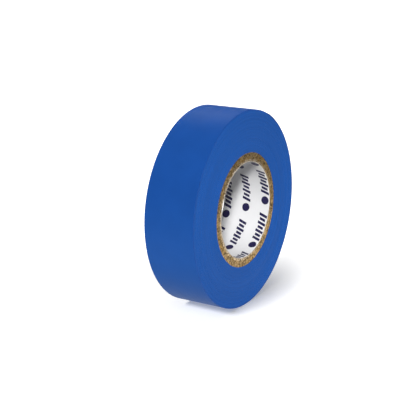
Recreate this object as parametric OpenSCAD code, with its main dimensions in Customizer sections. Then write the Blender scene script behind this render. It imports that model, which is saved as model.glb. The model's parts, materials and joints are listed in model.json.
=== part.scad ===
// Roll of electrical tape: a thin adhesive strip wound on a laminated board core.
// The roll stands on its tread like a wheel. Its axis runs along Y, +Z is up, and the
// origin is the centre of the bore. Angles round the roll run from +X towards +Z.

/* [Tape] */
// Width of the strip, which is the width of the whole roll
tape_w = 19; // [12:1:25]
// Thickness of the vinyl film
film_t = 0.11; // [0.08:0.01:0.2]
// Thickness of the adhesive coat under the film
adhesive_t = 0.02; // [0.01:0.005:0.04]
// Number of turns wound on the core
turns = 113; // [20:1:150]
// How many of the outermost turns are drawn as a true spiral strip
spiral_turns = 3; // [1:1:4]

/* [Core] */
// Outside diameter of the core
core_od = 40.3; // [30:0.1:80]
// Diameter of the bore through the core
bore_d = 33.9; // [20:0.1:76]
// Thickness of the smooth paper lining the bore
liner_t = 0.2; // [0.1:0.05:0.4]

/* [Free end] */
// Angle of the peel line, where the free end leaves the roll
peel_angle = 65; // [0:1:180]
// Arc of the roll that the free end covers
tail_arc = 100; // [60:5:140]
// Gap between neighbouring links of the free end
link_gap = 0.05; // [0.02:0.01:0.1]
// Running clearance between the free end and the turn under it
tail_clearance = 0.03; // [0.02:0.01:0.1]

/* [Hidden] */

$fn = 180;

ply_count = 5;
link_count = 10;

// Radii, from the bore outwards
bore_r = bore_d / 2;
board_r = bore_r + liner_t;
core_r = core_od / 2;
ply_t = (core_r - board_r) / ply_count;
strip_t = film_t + adhesive_t;
roll_r = core_r + turns * strip_t;
spiral_r = roll_r - (spiral_turns + 1) * strip_t;
tail_r = roll_r + tail_clearance;

link_arc = tail_arc / link_count;
gap_arc = link_gap / tail_r * 180 / PI;

paper_white = [0.95, 0.95, 0.93];
board_brown = [0.56, 0.48, 0.38];
tape_blue = [0.13, 0.33, 0.65];
film_blue = [0.15, 0.36, 0.68];
adhesive_blue = [0.10, 0.25, 0.50];

// Turns the roll's own axis onto Y. Drawn angles then run from the peel line along the
// strip towards its free end, which is clockwise seen with +X right and +Z up.
module on_axle() {
  rotate([-90, 0, 0]) rotate([0, 0, -peel_angle]) children();
}

// A band of a ring across the roll's full width, from one drawn angle to another
module band(r_in, r_out, from, arc) {
  rotate([0, 0, from])
    rotate_extrude(angle = arc)
      translate([r_in, -tape_w / 2])
        square([r_out - r_in, tape_w]);
}

// A closed ring across the roll's full width
module ring(r_in, r_out) {
  rotate([-90, 0, 0])
    difference() {
      cylinder(r = r_out, h = tape_w, center = true);
      cylinder(r = r_in, h = tape_w + 1, center = true);
    }
}

// A layer of the spiral. Each turn is two half rings, and the second half's centre is set
// half a strip aside, so that the end of one turn lies on the start of the next.
module spiral_layer(r_start, layer_t) {
  for (turn = [0 : spiral_turns - 1]) {
    r = r_start + turn * strip_t;
    band(r, r + layer_t, 0, 180);
    translate([strip_t / 2, 0, 0])
      band(r + strip_t / 2, r + strip_t / 2 + layer_t, 180, 180);
  }
}

// One link of the free end, counted from the peel line
module tail_link(index, r_in, r_out) {
  on_axle()
    band(r_in, r_out, (index - 1) * link_arc + gap_arc / 2, link_arc - gap_arc);
}

module core_liner() {
  color(paper_white) ring(bore_r, board_r);
}

module core_ply(index) {
  color(board_brown)
    ring(board_r + (index - 1) * ply_t, board_r + index * ply_t);
}

// The turns under the spiral, pressed into one solid pack. Its outline has the same step
// as a spiral, and the drawn strip starts against that step.
module tape_windings() {
  color(tape_blue)
    difference() {
      on_axle() {
        band(core_r - ply_t, spiral_r, 0, 180);
        translate([strip_t / 2, 0, 0])
          band(core_r - ply_t, spiral_r + strip_t / 2, 180, 180);
      }
      rotate([-90, 0, 0]) cylinder(r = core_r, h = tape_w + 1, center = true);
    }
}

module outer_adhesive() {
  color(adhesive_blue) on_axle() spiral_layer(spiral_r, adhesive_t);
}

module outer_film() {
  color(film_blue) on_axle() spiral_layer(spiral_r + adhesive_t, film_t);
}

module tail_adhesive(index) {
  color(adhesive_blue) tail_link(index, tail_r, tail_r + adhesive_t);
}

module tail_film(index) {
  color(film_blue) tail_link(index, tail_r + adhesive_t, tail_r + strip_t);
}

core_liner();
core_ply(1);  // core_ply_1
core_ply(2);  // core_ply_2
core_ply(3);  // core_ply_3
core_ply(4);  // core_ply_4
core_ply(5);  // core_ply_5
tape_windings();
outer_adhesive();
outer_film();
tail_adhesive(1);  // tail_adhesive_1
tail_adhesive(2);  // tail_adhesive_2
tail_adhesive(3);  // tail_adhesive_3
tail_adhesive(4);  // tail_adhesive_4
tail_adhesive(5);  // tail_adhesive_5
tail_adhesive(6);  // tail_adhesive_6
tail_adhesive(7);  // tail_adhesive_7
tail_adhesive(8);  // tail_adhesive_8
tail_adhesive(9);  // tail_adhesive_9
tail_adhesive(10);  // tail_adhesive_10
tail_film(1);  // tail_film_1
tail_film(2);  // tail_film_2
tail_film(3);  // tail_film_3
tail_film(4);  // tail_film_4
tail_film(5);  // tail_film_5
tail_film(6);  // tail_film_6
tail_film(7);  // tail_film_7
tail_film(8);  // tail_film_8
tail_film(9);  // tail_film_9
tail_film(10);  // tail_film_10
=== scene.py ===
"""Looks of the electrical tape roll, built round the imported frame. Lengths are in metres.

The roll's axis is Y and it stands on its tread. Angles round the roll run from +X towards
+Z. The strip's own angle, called turned here, starts at the peel line and grows along the
strip towards its free end, which is the other way round.
"""
import json
import math

import bpy
import numpy as np
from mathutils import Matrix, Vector


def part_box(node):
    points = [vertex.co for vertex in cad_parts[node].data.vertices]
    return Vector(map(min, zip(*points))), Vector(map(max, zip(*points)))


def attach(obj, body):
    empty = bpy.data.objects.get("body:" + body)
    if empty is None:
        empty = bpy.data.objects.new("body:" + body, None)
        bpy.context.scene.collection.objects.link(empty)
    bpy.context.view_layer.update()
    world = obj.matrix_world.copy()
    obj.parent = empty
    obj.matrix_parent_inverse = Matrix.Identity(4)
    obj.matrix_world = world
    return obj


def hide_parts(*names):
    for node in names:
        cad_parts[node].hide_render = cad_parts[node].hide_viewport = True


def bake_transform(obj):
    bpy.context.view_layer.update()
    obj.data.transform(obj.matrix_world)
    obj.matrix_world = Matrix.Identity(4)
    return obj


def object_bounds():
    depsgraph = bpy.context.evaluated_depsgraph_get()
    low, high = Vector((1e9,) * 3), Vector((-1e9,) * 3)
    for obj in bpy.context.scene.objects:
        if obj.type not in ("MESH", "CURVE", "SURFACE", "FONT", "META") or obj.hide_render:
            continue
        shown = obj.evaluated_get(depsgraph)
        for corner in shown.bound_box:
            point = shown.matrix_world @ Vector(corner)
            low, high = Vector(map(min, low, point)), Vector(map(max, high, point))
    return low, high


MM = 0.001
FULL_TURN = 2 * math.pi

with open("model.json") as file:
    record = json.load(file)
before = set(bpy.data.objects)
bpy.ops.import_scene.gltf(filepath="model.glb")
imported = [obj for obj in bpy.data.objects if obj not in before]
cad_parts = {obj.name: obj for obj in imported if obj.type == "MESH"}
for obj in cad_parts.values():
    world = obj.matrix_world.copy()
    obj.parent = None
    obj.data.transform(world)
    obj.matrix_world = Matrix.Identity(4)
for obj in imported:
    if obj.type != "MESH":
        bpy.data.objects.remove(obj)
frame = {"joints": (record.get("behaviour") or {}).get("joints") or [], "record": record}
cad_low, cad_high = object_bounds()
joints = {joint["name"]: joint for joint in frame["joints"]}
mounts = {mount["name"]: mount for mount in frame["record"]["mounts"]}
random = np.random.default_rng(19)

# ---- sizes: the strip's layers are given, everything else is read from the frame ----

FILM_T = 0.11 * MM
ADHESIVE_T = 0.02 * MM
STRIP_T = FILM_T + ADHESIVE_T
TAIL_CLEARANCE = 0.03 * MM
SPIRAL_TURNS = 3
PLIES = 5
LINKS = 10


def joint_angle(name):
    """Where a hinge of the free end stands round the roll."""
    x, _, z = joints[name]["pos_m"]
    return math.atan2(z, x)


BORE_R = mounts["core_bore"]["dims"]["r_mm"] * MM
HALF_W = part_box("tape_windings")[1].y
BOARD_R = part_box("core_liner")[1].z
CORE_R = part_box("core_ply_5")[1].z
PLY_T = (CORE_R - BOARD_R) / PLIES
LINK_ARC = joint_angle("peel") - joint_angle("peel_bend_3")
PEEL_ANGLE = joint_angle("peel") + LINK_ARC
TAIL_OUTER_R = math.hypot(joints["peel"]["pos_m"][0], joints["peel"]["pos_m"][2])
TAIL_R = TAIL_OUTER_R - STRIP_T
ROLL_R = TAIL_R - TAIL_CLEARANCE
SPIRAL_R = ROLL_R - (SPIRAL_TURNS + 1) * STRIP_T
FLOOR_Z = cad_low.z


# ---- mesh helpers ----

SHARP_ANGLE = math.radians(40)


def make_object(name, points, faces, material):
    """A mesh object with smooth shading that breaks at sharp edges."""
    mesh = bpy.data.meshes.new(name)
    mesh.from_pydata(points.reshape(-1, 3).tolist(), [], faces)
    mesh.validate()
    mesh.shade_smooth()
    mesh.set_sharp_from_angle(angle=SHARP_ANGLE)
    mesh.materials.append(material)
    piece = bpy.data.objects.new(name, mesh)
    bpy.context.scene.collection.objects.link(piece)
    return piece


def loop_faces(columns, loop, closed):
    """Quads between neighbouring columns of a closed loop of points, with caps if the row is open."""
    faces = []
    for column in range(columns if closed else columns - 1):
        after = (column + 1) % columns
        for j in range(loop):
            k = (j + 1) % loop
            faces.append((column * loop + j, after * loop + j, after * loop + k, column * loop + k))
    if not closed:
        faces.append(tuple(range(loop)))
        faces.append(tuple((columns - 1) * loop + j for j in reversed(range(loop))))
    return faces


def on_roll(turned, radius, across):
    """Points from the strip's own angle, the radius and the place across the width."""
    angle = PEEL_ANGLE - turned
    across = across + 0 * radius
    return np.stack([radius * np.cos(angle), across, radius * np.sin(angle)], axis=-1)


def swept(name, turned, radius, across, material, closed):
    """A solid swept round the roll. radius and across have one row per angle and one column
    per point of the closed section."""
    points = on_roll(turned[:, None], radius, across)
    return make_object(name, points, loop_faces(*radius.shape, closed), material)


def place(piece, body, slot, *nodes):
    """Rides the piece on its body and lets it stand for its CAD nodes."""
    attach(piece, body)
    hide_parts(*nodes)
    return piece


# ---- material helpers ----

def new_material(name):
    material = bpy.data.materials.new(name)
    material.use_nodes = True
    tree = material.node_tree
    return material, tree, tree.nodes["Principled BSDF"]


def math_node(tree, operation, first, second=None):
    node = tree.nodes.new("ShaderNodeMath")
    node.operation = operation
    for socket, value in zip(node.inputs, (first, second)):
        if value is None:
            continue
        if isinstance(value, (int, float)):
            socket.default_value = value
        else:
            tree.links.new(value, socket)
    return node.outputs[0]


def roll_coordinates(tree, radial, across, around, offset=0.0):
    """A texture vector of radius, place across the width and angle, each with its own
    repeats per metre, or per radian for the angle."""
    place_node = tree.nodes.new("ShaderNodeTexCoord")
    split = tree.nodes.new("ShaderNodeSeparateXYZ")
    tree.links.new(place_node.outputs["Object"], split.inputs[0])
    x, y, z = split.outputs
    squares = math_node(tree, "ADD", math_node(tree, "MULTIPLY", x, x), math_node(tree, "MULTIPLY", z, z))
    radius = math_node(tree, "SQRT", squares)
    angle = math_node(tree, "ARCTAN2", z, x)
    join = tree.nodes.new("ShaderNodeCombineXYZ")
    tree.links.new(math_node(tree, "MULTIPLY", radius, radial), join.inputs[0])
    tree.links.new(math_node(tree, "MULTIPLY", y, across), join.inputs[1])
    turned = math_node(tree, "ADD", math_node(tree, "MULTIPLY", angle, around), offset)
    tree.links.new(turned, join.inputs[2])
    return join.outputs[0]


def noise(tree, vector, scale=1.0, detail=4.0, roughness=0.55):
    node = tree.nodes.new("ShaderNodeTexNoise")
    node.inputs["Scale"].default_value = scale
    node.inputs["Detail"].default_value = detail
    node.inputs["Roughness"].default_value = roughness
    tree.links.new(vector, node.inputs["Vector"])
    return node.outputs["Fac"]


def object_noise(tree, scale, detail=4.0):
    """Noise that is the same in every direction, with its scale in repeats per metre."""
    place_node = tree.nodes.new("ShaderNodeTexCoord")
    return noise(tree, place_node.outputs["Object"], scale, detail)


def ramp(tree, factor, *stops):
    """A colour or grey ramp. Each stop is a place and a colour, or a place and a grey."""
    node = tree.nodes.new("ShaderNodeValToRGB")
    elements = node.color_ramp.elements
    while len(elements) < len(stops):
        elements.new(0.5)
    for element, (where, colour) in zip(elements, stops):
        element.position = where
        element.color = (*colour, 1) if isinstance(colour, tuple) else (colour, colour, colour, 1)
    tree.links.new(factor, node.inputs["Fac"])
    return node.outputs["Color"]


def mix(tree, factor, first, second):
    """Colour first where factor is 0 and the fixed colour second where it is 1."""
    node = tree.nodes.new("ShaderNodeMix")
    node.data_type = "RGBA"
    tree.links.new(factor, node.inputs["Factor"])
    tree.links.new(first, node.inputs["A"])
    node.inputs["B"].default_value = (*second, 1)
    return node.outputs["Result"]


def multiply(tree, colour, factor):
    node = tree.nodes.new("ShaderNodeMix")
    node.data_type = "RGBA"
    node.blend_type = "MULTIPLY"
    node.inputs["Factor"].default_value = 1.0
    tree.links.new(colour, node.inputs["A"])
    tree.links.new(factor, node.inputs["B"])
    return node.outputs["Result"]


def bump(tree, shader, *layers):
    """Stacks height layers, each a socket and its height in metres, into the shader's normal."""
    last = None
    for height, distance in layers:
        node = tree.nodes.new("ShaderNodeBump")
        node.inputs["Distance"].default_value = distance
        tree.links.new(height, node.inputs["Height"])
        if last is not None:
            tree.links.new(last, node.inputs["Normal"])
        last = node.outputs["Normal"]
    tree.links.new(last, shader.inputs["Normal"])


def tint(colour, factor):
    return tuple(min(1.0, part * factor) for part in colour)


FILM_BLUE = (0.0100, 0.069, 0.304)
EDGE_BLUE = (0.0118, 0.074, 0.301)
ADHESIVE_BLUE = (0.008, 0.052, 0.22)
BOARD = (0.315, 0.217, 0.106)
GOLDEN_BOARD = (0.36, 0.215, 0.06)
INNER_BOARD = (0.47, 0.38, 0.26)
PAPER = (0.78, 0.78, 0.79)
# the paper's cut edges: partly raw fibre's colour, partly painted shade
PAPER_EDGE = (0.42, 0.34, 0.24)
INK = (0.014, 0.011, 0.060)
VINYL_IOR = 1.47
FILM_SHINE = 0.15
CUT_EDGE_SHINE = 0.12
ADHESIVE_SHINE = 0.25
BOARD_SHINE = 0.2
CUT_FACING = 0.35  # the paper's cut edges face the roll's ends by more than this


def film_material(name, rings):
    """Calendered vinyl: satin, with fine streaks along the strip. rings lets the streaks
    follow the turns on the wound faces too."""
    material, tree, shader = new_material(name)
    radial = 5200 if rings else 0
    streaks = noise(tree, roll_coordinates(tree, radial, 3800, 1.6), detail=3.0)
    clouds = object_noise(tree, 160, 3.0)
    colour = ramp(tree, clouds, (0.3, tint(FILM_BLUE, 0.96)), (0.7, tint(FILM_BLUE, 1.04)))
    tree.links.new(colour, shader.inputs["Base Color"])
    tree.links.new(ramp(tree, streaks, (0.25, 0.36), (0.75, 0.46)), shader.inputs["Roughness"])
    shader.inputs["IOR"].default_value = VINYL_IOR
    shader.inputs["Specular IOR Level"].default_value = FILM_SHINE
    bump(tree, shader, (streaks, 0.002 * MM), (object_noise(tree, 900, 2.0), 0.003 * MM))
    return material


def wound_material(name):
    """The cut edges of the turns: the same vinyl, a little rougher, with each turn's edge
    a slightly different shade."""
    material, tree, shader = new_material(name)
    rings = noise(tree, roll_coordinates(tree, 7700, 60, 0.5), detail=3.0)
    mottle = noise(tree, roll_coordinates(tree, 1500, 0, 26, 7.0), detail=5.0)
    shares = (math_node(tree, "MULTIPLY", rings, 0.6), math_node(tree, "MULTIPLY", mottle, 0.4))
    shade = math_node(tree, "ADD", *shares)
    colour = ramp(tree, shade, (0.32, tint(EDGE_BLUE, 0.84)), (0.5, EDGE_BLUE), (0.68, tint(EDGE_BLUE, 1.2)))
    tree.links.new(colour, shader.inputs["Base Color"])
    tree.links.new(ramp(tree, mottle, (0.3, 0.46), (0.7, 0.6)), shader.inputs["Roughness"])
    shader.inputs["IOR"].default_value = VINYL_IOR
    shader.inputs["Specular IOR Level"].default_value = CUT_EDGE_SHINE
    bump(tree, shader, (mottle, 0.01 * MM))
    return material


def adhesive_material(name):
    """The rubber adhesive: clear over the blue film, so darker and shinier, faintly stringy."""
    material, tree, shader = new_material(name)
    strings = noise(tree, roll_coordinates(tree, 0, 2600, 9.0), detail=5.0)
    colour = ramp(tree, strings, (0.3, tint(ADHESIVE_BLUE, 0.8)), (0.7, tint(ADHESIVE_BLUE, 1.25)))
    tree.links.new(colour, shader.inputs["Base Color"])
    tree.links.new(ramp(tree, strings, (0.3, 0.26), (0.7, 0.44)), shader.inputs["Roughness"])
    shader.inputs["Specular IOR Level"].default_value = ADHESIVE_SHINE
    bump(tree, shader, (strings, 0.006 * MM))
    return material


def board_material(name, base):
    """Grey-brown paperboard: torn fibres, golden and dark flecks, and painted shade that makes it darker
    towards the top.
    """
    material, tree, shader = new_material(name)
    fibres = noise(tree, roll_coordinates(tree, 2200, 900, 30.0), detail=6.0, roughness=0.65)
    flecks = object_noise(tree, 1250, 5.0)
    patches = object_noise(tree, 520, 3.0)
    colour = ramp(
        tree, fibres, (0.34, tint(base, 0.40)), (0.45, tint(base, 0.80)), (0.54, tint(base, 1.12)),
        (0.66, tint(base, 1.95)),
    )
    colour = mix(tree, ramp(tree, patches, (0.5, 0.0), (0.62, 0.65)), colour, GOLDEN_BOARD)
    colour = multiply(tree, colour, ramp(tree, flecks, (0.40, 0.35), (0.5, 1.08)))
    # Painted shade: the colour is multiplied down with height, from 1.05 near the bottom to 0.45 near the
    # top.
    height = tree.nodes.new("ShaderNodeSeparateXYZ")
    tree.links.new(tree.nodes.new("ShaderNodeTexCoord").outputs["Object"], height.inputs[0])
    rise = math_node(tree, "ADD", math_node(tree, "MULTIPLY", height.outputs["Z"], 0.5 / CORE_R), 0.5)
    colour = multiply(tree, colour, ramp(tree, rise, (0.1, 1.05), (0.9, 0.45)))
    tree.links.new(colour, shader.inputs["Base Color"])
    shader.inputs["Roughness"].default_value = 0.9
    shader.inputs["Specular IOR Level"].default_value = BOARD_SHINE
    bump(tree, shader, (fibres, 0.12 * MM), (flecks, 0.06 * MM))
    return material


def paper_material(name):
    """Coated white paper with a faint fibre grain, and on its cut edges a darker brown that is partly the
    colour of raw fibre and partly painted shade.
    """
    material, tree, shader = new_material(name)
    grain = object_noise(tree, 1500, 5.0)
    clouds = object_noise(tree, 220, 2.0)
    colour = ramp(tree, clouds, (0.3, tint(PAPER, 0.965)), (0.7, PAPER))
    # The cut edges get the darker brown, partly raw fibre's colour and partly painted shade.
    facing = tree.nodes.new("ShaderNodeSeparateXYZ")
    tree.links.new(tree.nodes.new("ShaderNodeTexCoord").outputs["Normal"], facing.inputs[0])
    cut = math_node(tree, "GREATER_THAN", math_node(tree, "ABSOLUTE", facing.outputs["Y"]), CUT_FACING)
    tree.links.new(mix(tree, cut, colour, PAPER_EDGE), shader.inputs["Base Color"])
    tree.links.new(ramp(tree, grain, (0.3, 0.42), (0.7, 0.56)), shader.inputs["Roughness"])
    bump(tree, shader, (grain, 0.01 * MM))
    return material


def ink_material(name):
    """Navy printing ink, a little uneven where the paper's grain shows through."""
    material, tree, shader = new_material(name)
    grain = object_noise(tree, 2600, 4.0)
    colour = ramp(tree, grain, (0.3, tint(INK, 0.8)), (0.62, INK), (0.8, tint(INK, 2.2)))
    tree.links.new(colour, shader.inputs["Base Color"])
    tree.links.new(ramp(tree, grain, (0.3, 0.38), (0.7, 0.52)), shader.inputs["Roughness"])
    bump(tree, shader, (grain, 0.004 * MM))
    return material


# ---- the wound roll ----

RIM_RISE = 0.5 * MM  # the band under the tread that is rounded over
RIM_INSET = 0.2 * MM
RIM_ROUND = 0.96  # below 1, so that the rim's curve does not end steep
EDGE_RECESS = 0.03 * MM  # the wound turns' edges stand back from the faces by this
WOUND_COLUMNS = 150
LAST_COLUMN = FULL_TURN * 0.9997  # just short of the step of one strip thickness
SPIRAL_STEPS = 192  # round each of the outer turns
STRIP_BEVEL = 0.02 * MM
ADHESIVE_BEVEL = 0.004 * MM
SIDE_GAP = 0.02 * MM  # the strip's edges stand back from the faces by this
ADHESIVE_RECESS = 0.06 * MM


def rim_inset(radius):
    """How far the turns near the tread stand back from the face, as a soft rounded rim."""
    share = np.clip((radius - (ROLL_R - RIM_RISE)) / RIM_RISE, 0, 1)
    return RIM_INSET * (1 - np.sqrt(1 - share**2 * RIM_ROUND))


def spiral_growth(turned):
    """How far the strip has moved outwards at an angle of its turn: none in the first half
    turn, then one strip thickness by the end of the second."""
    within = np.mod(turned, FULL_TURN)
    return np.where(within < math.pi, 0.0, STRIP_T / 2 * (1 + np.cos(within)))


def slow_waves(turned, count, size):
    """One gentle wave round the roll for each of count turns, as rows of angles."""
    phase = random.uniform(0, FULL_TURN, count)
    waves = random.integers(1, 5, count)
    height = random.uniform(0.2, 1.0, count) * size
    return height * np.sin(turned[:, None] * waves + phase)


def wound_turns(material):
    """The inner turns: a ring whose two faces show every turn's edge as a fine ridge."""
    turned = np.linspace(0, FULL_TURN, WOUND_COLUMNS, endpoint=False)
    turned = np.append(turned, LAST_COLUMN)
    outer = SPIRAL_R + spiral_growth(turned)
    turns = round((SPIRAL_R - CORE_R) / STRIP_T)
    share = np.linspace(0, 1, 2 * turns + 1)
    radius = CORE_R + (outer - CORE_R)[:, None] * share
    sides = []
    for side in (-1, 1):
        proud = np.zeros_like(radius)
        proud[:, 1::2] = random.uniform(0.0, 0.02, turns) * MM + slow_waves(turned, turns, 0.006 * MM)
        proud[:, 0::2] = random.uniform(-0.016, -0.008, turns + 1) * MM
        proud -= EDGE_RECESS
        sides.append(side * (HALF_W - rim_inset(radius) + proud))
    section_r = np.concatenate([radius, radius[:, ::-1]], axis=1)
    section_y = np.concatenate([sides[0], sides[1][:, ::-1]], axis=1)
    return swept("wound_turns", turned, section_r, section_y, material, closed=True)


def strip_section(half_width, thickness, bevel, points_across):
    """A closed section of the strip as heights over its inner side and places across."""
    edge = bevel * np.array([0.0, 0.3, 1.0])
    rise = bevel * np.array([1.0, 0.3, 0.0])
    flat = np.linspace(-half_width + bevel, half_width - bevel, points_across)[1:-1]
    left = -half_width + edge
    outer = np.concatenate([left, flat, -left[::-1]])
    drop = np.concatenate([rise, 0 * flat, rise[::-1]])
    across = np.concatenate([outer, outer[::-1]])
    height = np.concatenate([thickness - drop, drop[::-1]])
    return height, across


def outer_turns(film, adhesive):
    """The last turns as one continuous spiral strip, film over adhesive."""
    steps = SPIRAL_STEPS * SPIRAL_TURNS
    turned = np.linspace(0, FULL_TURN * SPIRAL_TURNS, steps + 1)
    done = np.minimum(np.floor(turned / FULL_TURN), SPIRAL_TURNS - 1)
    growth = spiral_growth(turned)
    growth[-1] = STRIP_T
    start = SPIRAL_R + done * STRIP_T + growth
    layers = (
        ("outer_film_turns", ADHESIVE_T, FILM_T, STRIP_BEVEL, 17, film, "outer_film", "vinyl_film"),
        ("outer_adhesive_turns", 0, ADHESIVE_T, ADHESIVE_BEVEL, 4, adhesive, "outer_adhesive", "adhesive"),
    )
    for name, lift, thickness, bevel, across_points, material, node, slot in layers:
        height, across = strip_section(1.0, thickness, bevel, across_points)
        recess = ADHESIVE_RECESS if node == "outer_adhesive" else 0.0
        edge_waver = 0.008 * MM * np.sin(turned * 2.3) + 0.005 * MM * np.sin(turned * 5.1 + 1)
        half = HALF_W - SIDE_GAP - recess - rim_inset(start + lift + thickness) + edge_waver
        width = half[:, None] * across
        piece = swept(name, turned, (start + lift)[:, None] + height, width, material, closed=False)
        place(piece, "roll", slot, node)


# ---- the free end ----

ROOT_LAP = 0.012  # angle by which the root laps over the last turn's end
ROOT_THIN = 0.12  # share of the strip's thickness left at the root's edge
ROOT_SLOPE = 1.6  # the root is at full thickness after 1 / ROOT_SLOPE of its length
TIP_TRIM = 0.001  # angle the visible tip stops short of the last link's end
LINK_STEPS = 20


def strip_piece(name, start, end, lift, thickness, bevel, points_across, material, steps, root=False):
    """A stretch of the free end, from one strip angle to another. At the root, where it parts
    from the roll, the strip thins down to ROOT_THIN of its thickness."""
    turned = np.linspace(start, end, steps + 1)
    height, across = strip_section(1.0, 1.0, bevel / thickness, points_across)
    thin = np.full_like(turned, thickness)
    base = np.full_like(turned, TAIL_R + lift)
    if root:
        grow = np.clip(np.linspace(0, ROOT_SLOPE, steps + 1), 0, 1)
        grow = ROOT_THIN + (1 - ROOT_THIN) * grow * grow * (3 - 2 * grow)
        thin = thin * grow
        base = TAIL_R + lift * grow
    half = HALF_W - rim_inset(TAIL_R) - SIDE_GAP - (ADHESIVE_RECESS if lift == 0 else 0)
    radius = base[:, None] + thin[:, None] * height
    width = half * across + 0 * radius
    return swept(name, turned, radius, width, material, closed=False)


def free_end(film, adhesive):
    """The free end: a stretch at the peel line, then one piece over each hinge, the last one running on to
    the cut end. Each piece over a hinge starts half a link before it."""
    layers = (
        ("film", ADHESIVE_T, FILM_T, STRIP_BEVEL, 13, film, "vinyl_film"),
        ("adhesive", 0.0, ADHESIVE_T, ADHESIVE_BEVEL, 9, adhesive, "adhesive"),
    )
    last = LINKS - 1
    for layer, lift, thickness, bevel, points_across, material, slot in layers:
        common = (lift, thickness, bevel, points_across, material)
        root_name = f"free_end_{layer}_root"
        root = strip_piece(root_name, -ROOT_LAP, LINK_ARC / 2, *common, steps=LINK_STEPS // 2, root=True)
        place(root, "tail_1", slot, f"tail_{layer}_1")
        for link in range(1, LINKS):
            hinge = link * LINK_ARC
            start = hinge - LINK_ARC / 2
            end = LINKS * LINK_ARC - TIP_TRIM if link == last else hinge + LINK_ARC / 2
            steps = round(LINK_STEPS * (end - start) / LINK_ARC)
            piece = strip_piece(f"free_end_{layer}_{link}", start, end, *common, steps=steps)
            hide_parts(f"tail_{layer}_{link + 1}")
            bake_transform(piece)


# ---- the core ----

CORE_COLUMNS = 300
PLY_STEPS = 7


def core_plies():
    """Five board plies with fibrous, slightly uneven cut edges."""
    turned = np.linspace(0, FULL_TURN, CORE_COLUMNS, endpoint=False)
    for ply in range(1, PLIES + 1):
        base = INNER_BOARD if ply == 1 else BOARD
        material = board_material(f"board_ply_{ply}", tint(base, 1 + 0.07 * math.sin(3.1 * ply)))
        inner = BOARD_R + (ply - 1) * PLY_T
        share = np.linspace(0, 1, PLY_STEPS)
        edge_round = 0.07 * MM * (1 - np.sqrt(np.clip(1 - (2 * share - 1) ** 6, 0, 1)))
        radius = np.tile(inner + PLY_T * share, (CORE_COLUMNS, 1))
        sides = []
        for side in (-1, 1):
            fibre = random.normal(0, 0.03 * MM, (CORE_COLUMNS, PLY_STEPS))
            fibre = (fibre + np.roll(fibre, 1, axis=0)) / 2
            sunk = random.uniform(0.05, 0.16) * MM
            depth = sunk + edge_round + np.abs(fibre)
            sides.append(side * (HALF_W - depth))
        section_r = np.concatenate([radius, radius[:, ::-1]], axis=1)
        section_y = np.concatenate([sides[0], sides[1][:, ::-1]], axis=1)
        piece = swept(f"board_ply_{ply}", turned, section_r, section_y, material, closed=True)
        place(piece, "roll", "core_board", f"core_ply_{ply}")


LINER_RECESS = 0.06 * MM
LINER_ROUND = 0.04 * MM
WALL_MARGIN = 0.3 * MM  # the wall's rows of points keep this far inside the cut edges


def liner(material):
    """The paper lining the bore, its cut edge a little ragged."""
    turned = np.linspace(0, FULL_TURN, CORE_COLUMNS, endpoint=False)
    thickness = BOARD_R - BORE_R
    section_h = np.array([0.0, 0.15, 0.5, 0.85, 1.0])
    radius = np.tile(BORE_R + thickness * section_h, (CORE_COLUMNS, 1))
    inner_wall = np.linspace(-1, 1, 9)[1:-1]
    dip = LINER_ROUND * np.array([1.0, 0.2, 0.0, 0.2, 1.0])
    sides = []
    for side in (-1, 1):
        ragged = np.abs(random.normal(0, 0.012 * MM, CORE_COLUMNS))[:, None]
        sides.append(side * (HALF_W - LINER_RECESS - dip - ragged))
    wall_r = np.full((CORE_COLUMNS, len(inner_wall)), BORE_R)
    wall_y = np.tile(inner_wall * (HALF_W - LINER_RECESS - WALL_MARGIN), (CORE_COLUMNS, 1))
    section_r = np.concatenate([radius, radius[:, ::-1], wall_r], axis=1)
    section_y = np.concatenate([sides[0], sides[1][:, ::-1], wall_y[:, ::-1]], axis=1)
    piece = swept("bore_liner", turned, section_r, section_y, material, closed=True)
    return place(piece, "roll", "liner_paper", "core_liner")


MARK_ROWS = 3
MARKS_ROUND = 6
ROW_PITCH = 7.6 * MM
ROW_SHIFT = math.radians(12)
FIRST_MARK = math.radians(-19.5)
BARS = 7
BAR_PITCH = 1.52 * MM
BAR_W = 0.98 * MM
BAR_H = 3.2 * MM
BAR_SLANT = 0.34
SHORT_BAR = 0.72  # every other bar's height, as a share of BAR_H
DOT_R = 1.5 * MM
FIRST_BAR = 4.1 * MM
INK_T = 0.012 * MM


def printed_patch(outline):
    """A closed thin solid on the bore wall from a grid of (round, across) lengths, as a pair
    of point array and faces."""
    rows, columns, _ = outline.shape
    angle = outline[..., 0] / BORE_R
    layers = []
    for radius in (BORE_R + INK_T, BORE_R - INK_T):
        layers.append(np.stack([radius * np.cos(angle), outline[..., 1], radius * np.sin(angle)], axis=-1))
    points = np.stack(layers).reshape(-1, 3)
    count = rows * columns
    faces = []
    for i in range(rows - 1):
        for j in range(columns - 1):
            a = i * columns + j
            quad = (a, a + 1, a + columns + 1, a + columns)
            faces.append(tuple(reversed(quad)))
            faces.append(tuple(count + k for k in quad))
    rim = list(range(columns))
    rim += [i * columns + columns - 1 for i in range(1, rows)]
    rim += [(rows - 1) * columns + j for j in range(columns - 2, -1, -1)]
    rim += [i * columns for i in range(rows - 2, 0, -1)]
    for a, b in zip(rim, rim[1:] + rim[:1]):
        faces.append((a, b, count + b, count + a))
    return points, faces


def bar_outline(start, centre_y, height):
    """One slanted bar of a printed mark."""
    along = np.linspace(0, BAR_W, 3)[None, :]
    across = np.linspace(-height / 2, height / 2, 7)[:, None]
    return np.stack([start + along + across * BAR_SLANT, centre_y + across + 0 * along], axis=-1)


def dot_outline(centre, centre_y):
    """The round dot before the bars: a square grid pressed into a disc."""
    grid = np.linspace(-1, 1, 9)
    u, v = np.meshgrid(grid, grid)
    along = centre + DOT_R * u * np.sqrt(1 - v * v / 2)
    return np.stack([along, centre_y + DOT_R * v * np.sqrt(1 - u * u / 2)], axis=-1)


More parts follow.
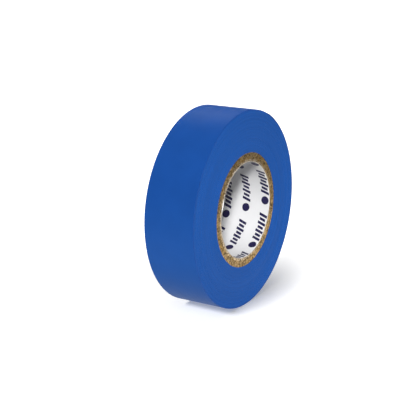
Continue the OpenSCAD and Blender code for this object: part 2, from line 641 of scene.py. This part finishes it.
def liner_print(material):
    """The generic print on the liner: rows of slanted bars, each row behind a round dot."""
    patches = []
    for row in range(MARK_ROWS):
        centre_y = (row - 1) * ROW_PITCH
        for mark in range(MARKS_ROUND):
            start = BORE_R * (FIRST_MARK - (row - 1) * ROW_SHIFT + mark * FULL_TURN / MARKS_ROUND)
            patches.append(printed_patch(dot_outline(start + DOT_R, centre_y)))
            for bar in range(BARS):
                bar_start = start + FIRST_BAR + bar * BAR_PITCH
                height = BAR_H * (SHORT_BAR if bar % 2 else 1.0)
                patches.append(printed_patch(bar_outline(bar_start, centre_y, height)))
    points, faces, count = [], [], 0
    for patch_points, patch_faces in patches:
        points.append(patch_points)
        faces += [tuple(count + k for k in face) for face in patch_faces]
        count += len(patch_points)
    piece = make_object("liner_print", np.concatenate(points), faces, material)
    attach(piece, "roll")
    return piece


# ---- the studio ----

PHOTO_AZIMUTH = -59.43
PHOTO_ELEVATION = 15.54
CAMERA_DISTANCE = 0.3595
LENS = 87.81
SENSOR = 36.0
AIM_RIGHT = 0.01266
AIM_UP = 0.00373
FLOOR_HALF = 4.0
LAMP_DISTANCE = 3.0
SKY_FILL = 0.08
SKY_REFLECTED = ((0.0, 0.2), (0.25, 0.1), (0.6, 0.08), (0.85, 0.2), (1.0, 0.35))
FLOOR_WHITE = 0.8
FLOOR_BOUNCE = 0.12
SHEEN_REACH = 250 * MM
FLOOR_MIRRORED = ((0.1, 0.5), (0.22, 1.0), (0.45, 0.7), (0.9, 0.3))
GLOW_NEAR = 0.32
GLOW_FAR = 1.0
GLOW_CENTRE = Vector((-10 * MM, 16 * MM, FLOOR_Z))
GLOW_REACH = (28 * MM, 76 * MM)
# name, azimuth, elevation, width in metres, power in watts, colour where it isn't white
ROLL_LAMPS = (
    ("key", -61, 28, 0.45, 100),
    ("top", 0, 89, 1.0, 5),
    ("front_fill", 0, 12, 1.0, 54),
    ("back_fill", 128, 28, 1.5, 105),
    ("table_light", -90, -70, 0.6, 56, (1.35, 1.25, 1.0)),
)
FLOOR_LAMPS = (
    ("shadow_lamp", -97, 34, 0.67, 94),
    ("soft_shadow_lamp", -84, 42, 1.72, 30),
)


def direction(azimuth, elevation):
    a, e = math.radians(azimuth), math.radians(elevation)
    return Vector((math.sin(a) * math.cos(e), -math.cos(a) * math.cos(e), math.sin(e)))


def add_camera():
    """Seen from the left of the near face and a little above, with the roll just right of centre."""
    data = bpy.data.cameras.new("camera")
    data.lens = LENS
    data.sensor_width = SENSOR
    data.clip_start = 0.01
    camera = bpy.data.objects.new("camera", data)
    bpy.context.scene.collection.objects.link(camera)
    back = direction(PHOTO_AZIMUTH, PHOTO_ELEVATION)
    right = (-back).cross(Vector((0, 0, 1))).normalized()
    up = right.cross(-back)
    aim = (-back - AIM_RIGHT * right - AIM_UP * up).normalized()
    camera.location = back * CAMERA_DISTANCE
    camera.rotation_euler = aim.to_track_quat("-Z", "Y").to_euler()
    bpy.context.scene.camera = camera


def add_lamp(name, azimuth, elevation, size, power, colour=(1, 1, 1)):
    """A round soft lamp aimed at the roll. It is out of sight in reflections."""
    data = bpy.data.lights.new(name, "AREA")
    data.shape = "DISK"
    data.size = size
    data.energy = power
    data.color = colour
    lamp = bpy.data.objects.new(name, data)
    bpy.context.scene.collection.objects.link(lamp)
    back = direction(azimuth, elevation)
    lamp.location = back * LAMP_DISTANCE
    lamp.rotation_euler = (-back).to_track_quat("-Z", "Y").to_euler()
    lamp.visible_glossy = False
    return lamp


def add_floor():
    """A plain floor, white to the camera and dark to light that bounces off it. It glows more
    the farther from the roll, and in reflections it has a brightness of its own."""
    corners = np.array([
        (side_x * FLOOR_HALF, side_y * FLOOR_HALF, FLOOR_Z)
        for side_x, side_y in ((-1, -1), (1, -1), (1, 1), (-1, 1))
    ])
    material, tree, shader = new_material("floor_white")
    path = tree.nodes.new("ShaderNodeLightPath")
    mirrored = path.outputs["Is Glossy Ray"]
    indirect = math_node(tree, "ADD", path.outputs["Is Diffuse Ray"], mirrored)
    colour = ramp(tree, indirect, (0.0, FLOOR_WHITE), (1.0, FLOOR_BOUNCE))
    tree.links.new(colour, shader.inputs["Base Color"])
    distance = tree.nodes.new("ShaderNodeVectorMath")
    distance.operation = "DISTANCE"
    distance.inputs[1].default_value = GLOW_CENTRE
    tree.links.new(tree.nodes.new("ShaderNodeTexCoord").outputs["Object"], distance.inputs[0])
    glow = tree.nodes.new("ShaderNodeMapRange")
    glow.interpolation_type = "SMOOTHSTEP"
    tree.links.new(distance.outputs["Value"], glow.inputs["Value"])
    settings = zip(("From Min", "From Max", "To Min", "To Max"), (*GLOW_REACH, GLOW_NEAR, GLOW_FAR))
    for socket, value in settings:
        glow.inputs[socket].default_value = value
    direct = math_node(tree, "MULTIPLY", glow.outputs["Result"], math_node(tree, "SUBTRACT", 1, indirect))
    reach = math_node(tree, "MULTIPLY", distance.outputs["Value"], 1 / SHEEN_REACH)
    sheen = ramp(tree, reach, *FLOOR_MIRRORED)
    strength = math_node(tree, "ADD", direct, math_node(tree, "MULTIPLY", sheen, mirrored))
    tree.links.new(strength, shader.inputs["Emission Strength"])
    shader.inputs["Emission Color"].default_value = (1, 1, 1, 1)
    shader.inputs["Roughness"].default_value = 1.0
    shader.inputs["Specular IOR Level"].default_value = 0.0
    floor = make_object("floor", corners, [(0, 1, 2, 3)], material)
    return floor


def add_world():
    """Faint even light, a soft sky in reflections, and plain white behind the floor."""
    world = bpy.data.worlds.new("studio")
    world.use_nodes = True
    tree = world.node_tree
    background = tree.nodes["Background"]
    place_node = tree.nodes.new("ShaderNodeTexCoord")
    split = tree.nodes.new("ShaderNodeSeparateXYZ")
    tree.links.new(place_node.outputs["Generated"], split.inputs[0])
    colour = ramp(tree, split.outputs["Z"], *SKY_REFLECTED)
    path = tree.nodes.new("ShaderNodeLightPath")
    for ray, grey in (("Is Diffuse Ray", SKY_FILL), ("Is Camera Ray", 1.0)):
        colour = mix(tree, path.outputs[ray], colour, (grey, grey, grey))
    tree.links.new(colour, background.inputs["Color"])
    bpy.context.scene.world = world


def light_group(name, state, *objects):
    """A light group that holds only these objects, or with EXCLUDE everything but them."""
    group = bpy.data.collections.new(name)
    for member in objects:
        group.objects.link(member)
    for entry in group.collection_objects:
        entry.light_linking.link_state = state
    return group


def add_studio(bore_pieces):
    """The roll and the floor have their own lamps, as in a picture with a lit table. The
    lamp behind leaves the bore alone, so that its far end stays in shade."""
    add_camera()
    add_world()
    floor = add_floor()
    roll = light_group("roll", "EXCLUDE", floor)
    outside = light_group("outside", "EXCLUDE", floor, *bore_pieces)
    table = light_group("table", "INCLUDE", floor)
    for lamp in ROLL_LAMPS:
        light = add_lamp(*lamp)
        light.light_linking.receiver_collection = outside if lamp[0] == "back_fill" else roll
        light.light_linking.blocker_collection = roll
    for lamp in FLOOR_LAMPS:
        add_lamp(*lamp).light_linking.receiver_collection = table
    bpy.context.scene.view_settings.view_transform = "Standard"


# ---- build ----

film = film_material("vinyl_film", rings=True)
tail_film = film_material("vinyl_free_end", rings=False)
adhesive = adhesive_material("adhesive")
place(wound_turns(wound_material("wound_edges")), "roll", "vinyl_film", "tape_windings")
outer_turns(film, adhesive)
free_end(tail_film, adhesive)
core_plies()
bore_pieces = liner(paper_material("liner_paper")), liner_print(ink_material("printing_ink"))
add_studio(bore_pieces)
